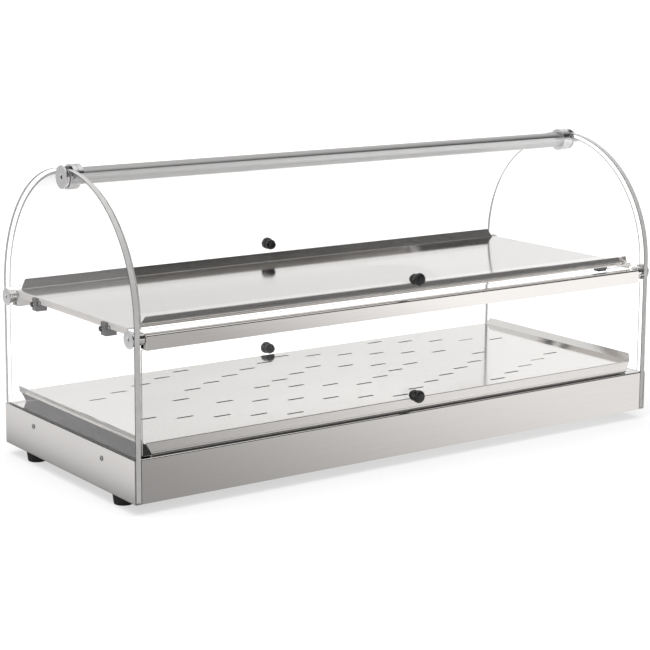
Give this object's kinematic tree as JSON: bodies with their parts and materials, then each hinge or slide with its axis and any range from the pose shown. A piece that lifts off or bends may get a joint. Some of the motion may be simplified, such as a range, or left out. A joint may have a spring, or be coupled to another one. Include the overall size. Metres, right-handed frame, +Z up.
{
  "type": "hot food display case",
  "caption": "Long hot food display case with a heated stainless base, clear arched sides, plain and slotted trays, curved doors on a top tube and flat flaps below.",
  "frame": {"origin": "on the floor under the middle of the case, at the bottom centre of its bounding box", "axes": "+X along the case to its right end seen from the front, +Y to its rear, where the controls are, +Z up"},
  "size_m": [0.8526, 0.3765, 0.4092],
  "materials": {
    "polished_steel": "mirror-polished stainless sheet, bar and tube",
    "satin_steel": "satin stainless sheet with a fine grain",
    "chrome_trim": "bright plated turned fittings",
    "screw_steel": "dull steel screw heads",
    "clear_acrylic": "clear cast acrylic with polished edges",
    "black_plastic": "moulded black plastic, half gloss",
    "black_nylon": "moulded black nylon",
    "foot_rubber": "matt black rubber",
    "silicone_mat": "silicone heating mat",
    "mineral_board": "mineral insulation board",
    "amber_lens": "amber lamp lens",
    "ceramic": "white glazed terminal block"
  },
  "bodies": {
    "case": {"base_casing": "polished_steel", "base_pan": "satin_steel", "heating_mat": "silicone_mat", "insulation_board": "mineral_board", "left_side_plate": "satin_steel", "left_side_panel": "clear_acrylic", "top_bush_left": "black_nylon", "top_cap_left": "chrome_trim", "plate_screw_front_left": "screw_steel", "foot_front_left": "foot_rubber", "pivot_hub_front_left": "polished_steel", "pivot_cap_front_left": "chrome_trim", "tray_bracket_front_left": "black_nylon", "plate_screw_rear_left": "screw_steel", "foot_rear_left": "foot_rubber", "pivot_hub_rear_left": "polished_steel", "pivot_cap_rear_left": "chrome_trim", "tray_bracket_rear_left": "black_nylon", "right_side_plate": "satin_steel", "right_side_panel": "clear_acrylic", "top_bush_right": "black_nylon", "top_cap_right": "chrome_trim", "plate_screw_front_right": "screw_steel", "foot_front_right": "foot_rubber", "pivot_hub_front_right": "polished_steel", "pivot_cap_front_right": "chrome_trim", "tray_bracket_front_right": "black_nylon", "plate_screw_rear_right": "screw_steel", "foot_rear_right": "foot_rubber", "pivot_hub_rear_right": "polished_steel", "pivot_cap_rear_right": "chrome_trim", "tray_bracket_rear_right": "black_nylon", "thermostat_body": "satin_steel", "switch_housing": "black_plastic", "pilot_lamp": "amber_lens", "cable_gland": "black_nylon", "terminal_block": "ceramic", "top_tube": "polished_steel", "upper_tray": "polished_steel", "lower_tray": "polished_steel"},
    "front_upper_door": {"front_upper_door": "clear_acrylic", "front_upper_knob": "black_plastic", "door_collar_front_left": "chrome_trim", "door_collar_front_right": "chrome_trim"},
    "rear_upper_door": {"rear_upper_door": "clear_acrylic", "rear_upper_knob": "black_plastic", "door_collar_rear_left": "chrome_trim", "door_collar_rear_right": "chrome_trim"},
    "front_lower_flap": {"front_lower_flap": "clear_acrylic", "front_lower_knob": "black_plastic", "front_mid_rail": "polished_steel"},
    "rear_lower_flap": {"rear_lower_flap": "clear_acrylic", "rear_lower_knob": "black_plastic", "rear_mid_rail": "polished_steel"},
    "thermostat_knob": {"thermostat_knob": "black_plastic"},
    "switch_rocker": {"switch_rocker": "black_plastic"}
  },
  "joints": [
    {"name": "front_upper_door_hinge", "type": "hinge", "parent": "case", "child": "front_upper_door", "pos_m": [0, 0, 0.3934], "axis": [-1, 0, 0], "range_deg": [0, 70]},
    {"name": "rear_upper_door_hinge", "type": "hinge", "parent": "case", "child": "rear_upper_door", "pos_m": [0, 0, 0.3934], "axis": [1, 0, 0], "range_deg": [0, 70]},
    {"name": "front_lower_flap_hinge", "type": "hinge", "parent": "case", "child": "front_lower_flap", "pos_m": [0, -0.164, 0.216], "axis": [-1, 0, 0], "range_deg": [0, 90]},
    {"name": "rear_lower_flap_hinge", "type": "hinge", "parent": "case", "child": "rear_lower_flap", "pos_m": [0, 0.164, 0.216], "axis": [1, 0, 0], "range_deg": [0, 90]},
    {"name": "thermostat_turn", "type": "hinge", "parent": "case", "child": "thermostat_knob", "pos_m": [0.235, 0.182, 0.042], "axis": [0, -1, 0], "range_deg": [0, 270]},
    {"name": "switch_rock", "type": "hinge", "parent": "case", "child": "switch_rocker", "pos_m": [0.31, 0.1745, 0.042], "axis": [-1, 0, 0], "range_deg": [0, 20]}
  ]
}
